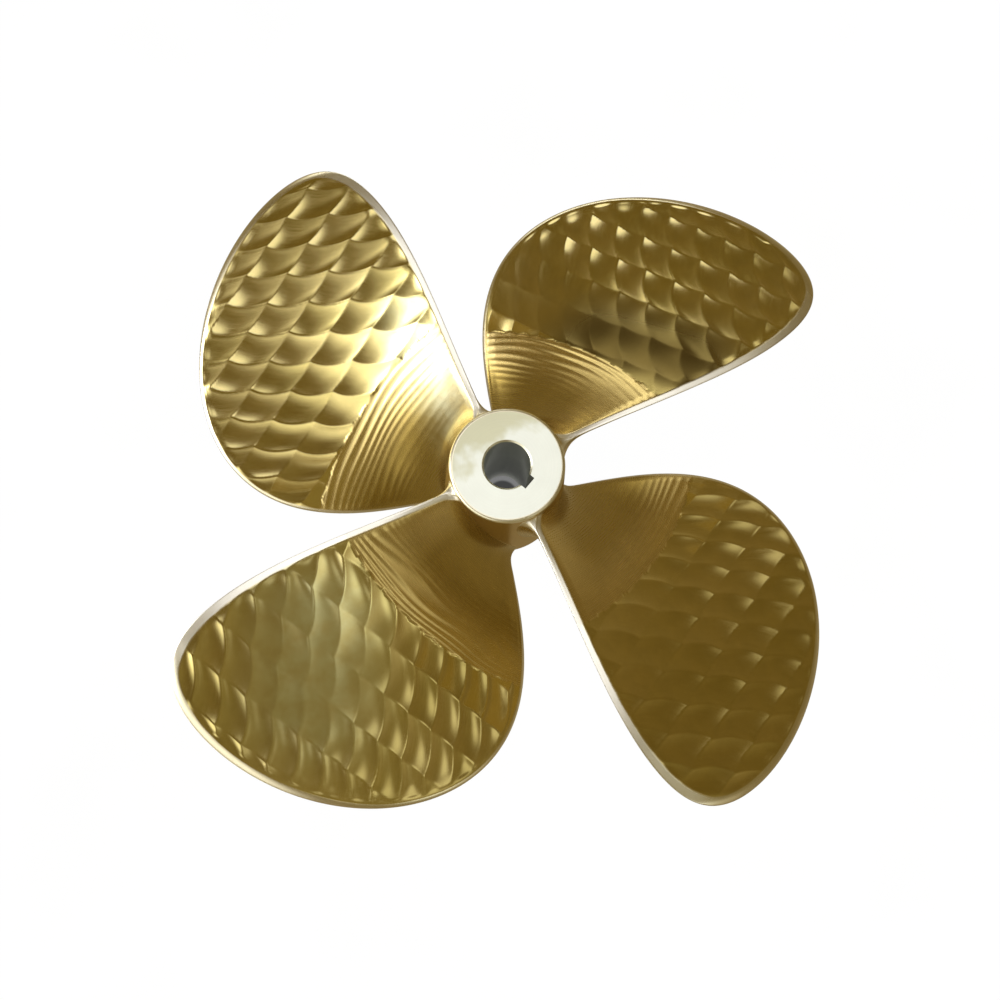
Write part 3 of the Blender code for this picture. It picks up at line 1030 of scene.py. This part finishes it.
@dataclass(frozen=True)
class HubBronze:
    """Finish of the hub: turned bright on its faces and rim, ground on its barrel, matt in the bore, with
    painted shade darkening its faces towards one side.
    """

    name: str = "machined_bronze"
    face: Colour = (0.760, 0.795, 0.750)
    # Darker face colour of the painted shade towards one side.
    face_shaded_side: Colour = (0.560, 0.560, 0.415)
    shaded_side_towards_deg: float = 165.0
    rim: Colour = (0.95, 0.93, 0.80)
    barrel: Colour = (0.62, 0.45, 0.165)
    bore: Colour = (0.86, 0.88, 0.78)
    keyway: Colour = (0.62, 0.62, 0.55)
    roughness_face: float = 0.33
    roughness_barrel: float = 0.32
    ring_scale: float = 1100.0
    ring_depth: float = 0.00003
    ring_strength: float = 0.4
    cloud_scale: float = 22.0
    shaded_side_zone: Span = (0.018, 0.046)
    cloud_range: Range = (0.3, 0.7, -0.022, 0.022)
    shade_range: Range = (0.6, 1.4, 0.93, 1.03)
    rough_range: Range = (0.3, 0.7, -0.03, 0.05)

    def build(self) -> bpy.types.Material:
        """Lays out the material: rings round the axis from the distance to it, soft clouds, and painted shade
        that darkens the faces towards one side.
        """
        material, board, shader = new_material(self.name)
        place = board.add("ShaderNodeTexCoord").outputs["Object"]
        parts = board.add("ShaderNodeSeparateXYZ", {0: place})
        squares = board.maths("ADD", board.maths("MULTIPLY", parts.outputs[0], parts.outputs[0]),
                              board.maths("MULTIPLY", parts.outputs[1], parts.outputs[1]))
        distance = board.maths("SQRT", squares)
        rings = board.noise(board.add("ShaderNodeCombineXYZ", {0: distance, 1: parts.outputs[2]}).outputs[0],
                            self.ring_scale, 2.0)
        clouds = board.noise(place, self.cloud_scale)
        # Painted shade: towards one side of the axis the faces turn darker, with a cloudy border.
        shaded_azimuth = math.radians(self.shaded_side_towards_deg)
        side = board.add("ShaderNodeVectorMath", {0: place, 1: (math.cos(shaded_azimuth), math.sin(shaded_azimuth), 0.0)},
                         operation="DOT_PRODUCT").outputs["Value"]
        side = board.maths("ADD", side, board.ramp(clouds, *self.cloud_range))
        face = board.mix(board.step(side, *self.shaded_side_zone), colour4(self.face), colour4(self.face_shaded_side))
        base = board.mix(board.attribute("face"), colour4(self.barrel), face)
        base = board.mix(board.attribute("rim"), base, colour4(self.rim))
        base = board.mix(board.attribute("bore"), base, colour4(self.bore))
        base = board.mix(board.attribute("keyway"), base, colour4(self.keyway))
        shade = board.ramp(board.maths("ADD", rings, clouds), *self.shade_range)
        base = board.mix(1.0, base, board.grey(shade), "MULTIPLY")
        rough = board.ramp(board.attribute("face"), 0.0, 1.0, self.roughness_barrel, self.roughness_face)
        rough = board.maths("ADD", rough, board.ramp(rings, *self.rough_range))
        relief = {"Height": rings, "Distance": self.ring_depth, "Strength": self.ring_strength}
        bump = board.add("ShaderNodeBump", relief)
        board.finish_metal(shader, base, rough, bump.outputs[0])
        return material


@dataclass(frozen=True)
class SoftBox:
    """A soft bright area of the studio, seen from the propeller.

    The azimuth is counter-clockwise from the picture's right, and the zenith angle is from straight up.
    """

    azimuth_deg: float
    zenith_deg: float
    inner_deg: float
    outer_deg: float
    strength: float
    tint: Colour = (1.0, 1.0, 1.0)


@dataclass(frozen=True)
class SoftBand:
    """A bright wall of the studio: it spans a range of azimuths and brightens towards the horizon."""

    azimuth_deg: float
    half_width_deg: float
    fade_deg: float
    zenith_from_deg: float
    zenith_full_deg: float
    strength: float
    tint: Colour = (1.0, 1.0, 1.0)


@dataclass
class Studio:
    """The stage: pale floor, soft light from all round, and the camera that took the picture."""

    hub_length: float
    picture_turn_deg: float = 40.0
    camera_place: tuple[float, float, float] = (-0.03086, -0.19538, 0.98513)
    camera_right: tuple[float, float, float] = (0.999758, -0.003354, 0.021758)
    camera_up: tuple[float, float, float] = (0.0, 0.988326, 0.152352)
    camera_back: tuple[float, float, float] = (-0.022015, -0.152315, 0.988087)
    lens_mm: float = 29.69
    sensor_mm: float = 36.0
    surround: Colour = (0.150, 0.100, 0.024)
    surround_low: Colour = (0.200, 0.140, 0.050)
    floor_half: float = 12.0
    floor_glow: Colour = (0.300, 0.235, 0.120)
    floor_far: Colour = (0.200, 0.140, 0.050)
    wedge_glow: Colour = (1.15, 1.18, 1.30)
    wedge_towards_deg: float = 193.0
    wedge_half_deg: float = 8.0
    wedge_fade_deg: float = 16.0
    wedge_reach: Span = (0.5, 1.2)
    floor_drop: float = 0.0002
    floor_base: Colour = (0.02, 0.02, 0.02)
    floor_roughness: float = 0.95
    # Painted shadow under the hub, and painted shadow and light ring under the bore: distances and glows.
    hub_shadow_range: Range = (0.0315, 0.085, 0.0, 1.0)
    bore_shadow_and_light_ring: Range = (0.021, 0.024, 0.055, 0.20)
    floor_fade: Range = (0.4, 2.5, 0.0, 1.0)
    mottle_scale: float = 3.0
    mottle_range: Range = (0.3, 0.7, 0.985, 1.0)
    sky_range: Range = (0.0, 0.6, 0.0, 1.0)
    view_end: float = 100.0
    boxes: tuple[SoftBox, ...] = (
        SoftBox(133.0, 12.0, 28.0, 33.0, 1.25, (1.0, 1.0, 0.99)),
        SoftBox(30.0, 33.0, 2.0, 15.0, 0.45, (1.0, 0.98, 0.80)),
        SoftBox(60.0, 47.0, 2.0, 14.0, 0.50, (1.0, 0.98, 0.80)),
        SoftBox(325.0, 38.0, 3.0, 13.0, 0.60, (1.0, 0.99, 0.84)),
        SoftBox(305.0, 66.0, 3.0, 13.0, 0.90, (1.0, 1.0, 0.84)),
        SoftBox(280.0, 56.0, 2.0, 9.0, 0.45, (1.0, 1.0, 0.88)),
        SoftBox(318.0, 76.0, 3.0, 16.0, 0.30, (1.0, 0.92, 0.70)),
        SoftBox(300.0, 55.0, 10.0, 55.0, 0.08, (1.0, 0.97, 0.55)),
    )
    bands: tuple[SoftBand, ...] = (
        SoftBand(190.0, 20.0, 18.0, 45.0, 76.0, 1.35, (1.0, 0.98, 0.86)),
        SoftBand(234.0, 14.0, 16.0, 51.0, 72.0, 1.25, (1.0, 0.98, 0.86)),
        SoftBand(188.0, 12.0, 14.0, 58.0, 75.0, 3.7, (1.0, 1.0, 1.0)),
        SoftBand(105.0, 15.0, 13.0, 75.0, 83.0, 1.85, (1.0, 0.98, 0.82)),
    )

    def camera(self) -> bpy.types.Object:
        """Makes the camera from its place and three axes, turned from the picture's frame to the part's."""
        data = bpy.data.cameras.new("camera")
        data.lens = self.lens_mm
        data.sensor_width = self.sensor_mm
        data.clip_end = self.view_end
        obj = bpy.data.objects.new("camera", data)
        turn = Matrix.Rotation(math.radians(self.picture_turn_deg), 4, "Z")
        axes = Matrix((self.camera_right, self.camera_up, self.camera_back)).transposed().to_4x4()
        lift = Vector((0.0, 0.0, self.hub_length))
        place = Matrix.Translation(Vector(self.camera_place))
        obj.matrix_world = Matrix.Translation(lift) @ turn @ place @ axes
        bpy.context.scene.collection.objects.link(obj)
        bpy.context.scene.camera = obj
        return obj

    def floor(self) -> bpy.types.Object:
        """A wide pale floor under the propeller that glows softly, with a painted shadow under the hub and,
        under the bore, a painted dark spot inside a painted light ring.
        """
        half = self.floor_half
        corners = ((-half, -half), (half, -half), (half, half), (-half, half))
        points = np.array([(x, y, -self.floor_drop) for x, y in corners])
        obj = mesh_object("floor", points, (np.array([[0, 1, 2, 3]]), np.zeros((0, 3), int)), {})
        material, board, shader = new_material("pale_floor")
        place = board.add("ShaderNodeTexCoord").outputs["Object"]
        distance = board.add("ShaderNodeVectorMath", {0: place}, operation="LENGTH").outputs["Value"]
        # Painted shadow: the glow fades out under the hub.
        outside = board.ramp(distance, *self.hub_shadow_range)
        # Painted light and shadow seen through the bore: a dark spot inside a lighter ring.
        ring = board.ramp(distance, *self.bore_shadow_and_light_ring)
        below = board.grey(ring)
        seen = board.add("ShaderNodeLightPath").outputs["Is Camera Ray"]
        mottle = board.ramp(board.noise(place, self.mottle_scale), *self.mottle_range)
        pale = board.grey(mottle)
        fade = board.ramp(distance, *self.floor_fade)
        dim = board.mix(fade, colour4(self.floor_glow), colour4(self.floor_far))
        dim = board.mix(self.wedge_share(board, place, distance), dim, colour4(self.wedge_glow))
        glow = board.mix(seen, dim, pale)
        glow = board.mix(outside, below, glow)
        board.tree.links.new(glow, shader.inputs["Emission Color"])
        shader.inputs["Emission Strength"].default_value = 1.0
        shader.inputs["Base Color"].default_value = colour4(self.floor_base)
        shader.inputs["Roughness"].default_value = self.floor_roughness
        shader.inputs["Specular IOR Level"].default_value = 0.0
        obj.data.materials.append(material)
        return obj

    def wedge_share(self, board: NodeBoard, place: bpy.types.NodeSocket,
                    distance: bpy.types.NodeSocket) -> bpy.types.NodeSocket:
        """1 on the part of the floor that a lamp beside the propeller lights, falling softly to 0 round it.

        Args:
            board: the floor's nodes.
            place: where on the floor.
            distance: how far from the shaft's axis.

        Returns:
            The share.
        """
        azimuth = math.radians(self.wedge_towards_deg + self.picture_turn_deg)
        towards = (math.cos(azimuth), math.sin(azimuth), 0.0)
        level = board.add("ShaderNodeVectorMath", {0: place}, operation="NORMALIZE").outputs[0]
        apart = board.angle_from(level, towards)
        far = math.radians(self.wedge_half_deg + self.wedge_fade_deg)
        sideways = board.step(apart, far, math.radians(self.wedge_half_deg))
        return board.maths("MULTIPLY", sideways, board.step(distance, *self.wedge_reach))

    def light(self) -> None:
        """Fills the world with the dim surround, the soft boxes, and a pale backdrop for the camera alone."""
        world = bpy.data.worlds.new("studio")
        bpy.context.scene.world = world
        world.use_nodes = True
        world.node_tree.nodes.clear()
        board = NodeBoard(world.node_tree)
        view = board.add("ShaderNodeTexCoord").outputs["Generated"]
        height = board.add("ShaderNodeSeparateXYZ", {0: view}).outputs[2]
        upward = board.ramp(height, *self.sky_range)
        total = board.mix(upward, colour4(self.surround_low), colour4(self.surround))
        for glow, tint in self.box_glows(board, view) + self.band_glows(board, view):
            scaled = board.add("ShaderNodeVectorMath", {0: tint, "Scale": glow}, operation="SCALE").outputs[0]
            total = board.add("ShaderNodeVectorMath", {0: total, 1: scaled}, operation="ADD").outputs[0]
        seen = board.add("ShaderNodeLightPath").outputs["Is Camera Ray"]
        total = board.mix(seen, total, (1.0, 1.0, 1.0, 1.0))
        background = board.add("ShaderNodeBackground", {"Color": total, "Strength": 1.0})
        board.add("ShaderNodeOutputWorld", {"Surface": background.outputs[0]})

    def box_glows(self, board: NodeBoard, view: bpy.types.NodeSocket) -> list[Glow]:
        """Strength of each soft box in the direction seen, from the angle between that and its middle.

        Args:
            board: the world's nodes.
            view: the direction seen.

        Returns:
            Each box's strength and its tint.
        """
        glows = []
        for box in self.boxes:
            azimuth = math.radians(box.azimuth_deg + self.picture_turn_deg)
            zenith = math.radians(box.zenith_deg)
            flat = math.sin(zenith)
            towards = (flat * math.cos(azimuth), flat * math.sin(azimuth), math.cos(zenith))
            apart = board.angle_from(view, towards)
            soft = board.step(apart, math.radians(box.outer_deg), math.radians(box.inner_deg))
            glows.append((board.maths("MULTIPLY", soft, box.strength), box.tint))
        return glows

    def band_glows(self, board: NodeBoard, view: bpy.types.NodeSocket) -> list[Glow]:
        """Strength of each band in the direction seen, from its azimuth and from its angle to straight up.

        Args:
            board: the world's nodes.
            view: the direction seen.

        Returns:
            Each band's strength and its tint.
        """
        glows = []
        parts = board.add("ShaderNodeSeparateXYZ", {0: view})
        flat = board.add("ShaderNodeCombineXYZ", {0: parts.outputs[0], 1: parts.outputs[1], 2: 0.0})
        level = board.add("ShaderNodeVectorMath", {0: flat.outputs[0]}, operation="NORMALIZE").outputs[0]
        zenith = board.maths("ARCCOSINE", parts.outputs[2])
        for band in self.bands:
            azimuth = math.radians(band.azimuth_deg + self.picture_turn_deg)
            towards = (math.cos(azimuth), math.sin(azimuth), 0.0)
            apart = board.angle_from(level, towards)
            far = math.radians(band.half_width_deg + band.fade_deg)
            sideways = board.step(apart, far, math.radians(band.half_width_deg))
            start, full = math.radians(band.zenith_from_deg), math.radians(band.zenith_full_deg)
            upright = board.step(zenith, start, full)
            glow = board.maths("MULTIPLY", board.maths("MULTIPLY", sideways, upright), band.strength)
            glows.append((glow, band.tint))
        return glows

    def build(self) -> None:
        """Sets the stage and how the picture is developed."""
        self.camera()
        self.floor()
        self.light()
        view = bpy.context.scene.view_settings
        view.view_transform = "Standard"
        view.look = "None"
        view.exposure = 0.0
        view.gamma = 1.0


class Propeller:
    """The whole casting's dress: the hub and its four blades."""

    def __init__(self, hub_length: float) -> None:
        """Sets up the pieces from the hub's length."""
        hub_form = HubForm(length=hub_length)
        blade_form = BladeForm(hub=hub_form)
        # Blade 2 carries a dark patch of painted shade, blades 3 and 4 pale patches of painted highlight.
        patterns = (
            GrindingPattern(first_corner=(0.3132, 0.1048), row_step=(-0.0490, -0.0305),
                            next_row=(0.0011, 0.0432), stroke_depth=0.0004, shallow_reach=0.120),
            GrindingPattern(first_corner=(0.4030, 0.0302), row_step=(-0.0450, -0.0347),
                            next_row=(-0.0028, 0.0428), dish_along=0.0024, dish_across=0.0026,
                            smooth_margin=0.0100, stroke_centre=(-0.120, 0.030), stroke_edge=0.327,
                            shallow_place=(0.205, -0.085), shallow_run=(0.057, 0.300),
                            shallow_reach=0.085, shallow_share=0.50, reflection_patch_reach=0.110),
            GrindingPattern(first_corner=(0.3550, -0.0130), row_step=(-0.0491, -0.0348),
                            next_row=(0.0007, 0.0459), stroke_edge=0.3645, stroke_depth=0.0011,
                            reflection_patch_place=(0.231, -0.059), reflection_patch_run=(-0.141, 0.048), reflection_patch_reach=0.055,
                            reflection_patch_share=-0.50, reflection_patch_in_root=1.0),
            GrindingPattern(first_corner=(0.2645, -0.0114), row_step=(-0.0519, -0.0324),
                            next_row=(0.0002, 0.0384), dish_across=0.0024, smooth_margin=0.0100,
                            stroke_depth=0.0010, stroke_wander=2.2, shallow_place=(0.334, -0.027),
                            shallow_reach=0.125, shallow_share=0.34, reflection_patch_place=(0.295, -0.060),
                            reflection_patch_run=(0.080, 0.060), reflection_patch_reach=0.125, reflection_patch_share=-0.75),
        )
        self.hub = Hub(hub_form)
        self.smooth = SmoothBlade(blade_form)
        self.blades = [Blade(number, blade_form, pattern) for number, pattern in enumerate(patterns, start=1)]

    def dress(self, obj: bpy.types.Object, material: bpy.types.Material) -> None:
        """Gives a piece its finish and ties it to the casting.

        Args:
            obj: the piece.
            material: its finish.
        """
        obj.data.materials.append(material)
        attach(obj, BODY)
        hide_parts(CASTING)
        LOG.info("%s: %d faces", obj.name, len(obj.data.polygons))

    def build(self) -> None:
        """Builds the pieces in order and dresses them."""
        self.dress(self.hub.build(), HubBronze().build())
        ground = BladeBronze().build()
        face, back = self.smooth.side(Side.FACE), self.smooth.side(Side.BACK)
        for blade in self.blades:
            self.dress(blade.build(face, back), ground)


def main() -> None:
    """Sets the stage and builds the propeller."""
    logging.basicConfig(level=logging.INFO, format="%(name)s: %(message)s")
    low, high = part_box(CASTING)
    studio = Studio(hub_length=high.z)
    studio.build()
    Propeller(high.z).build()


if __name__ == "__main__":
    main()
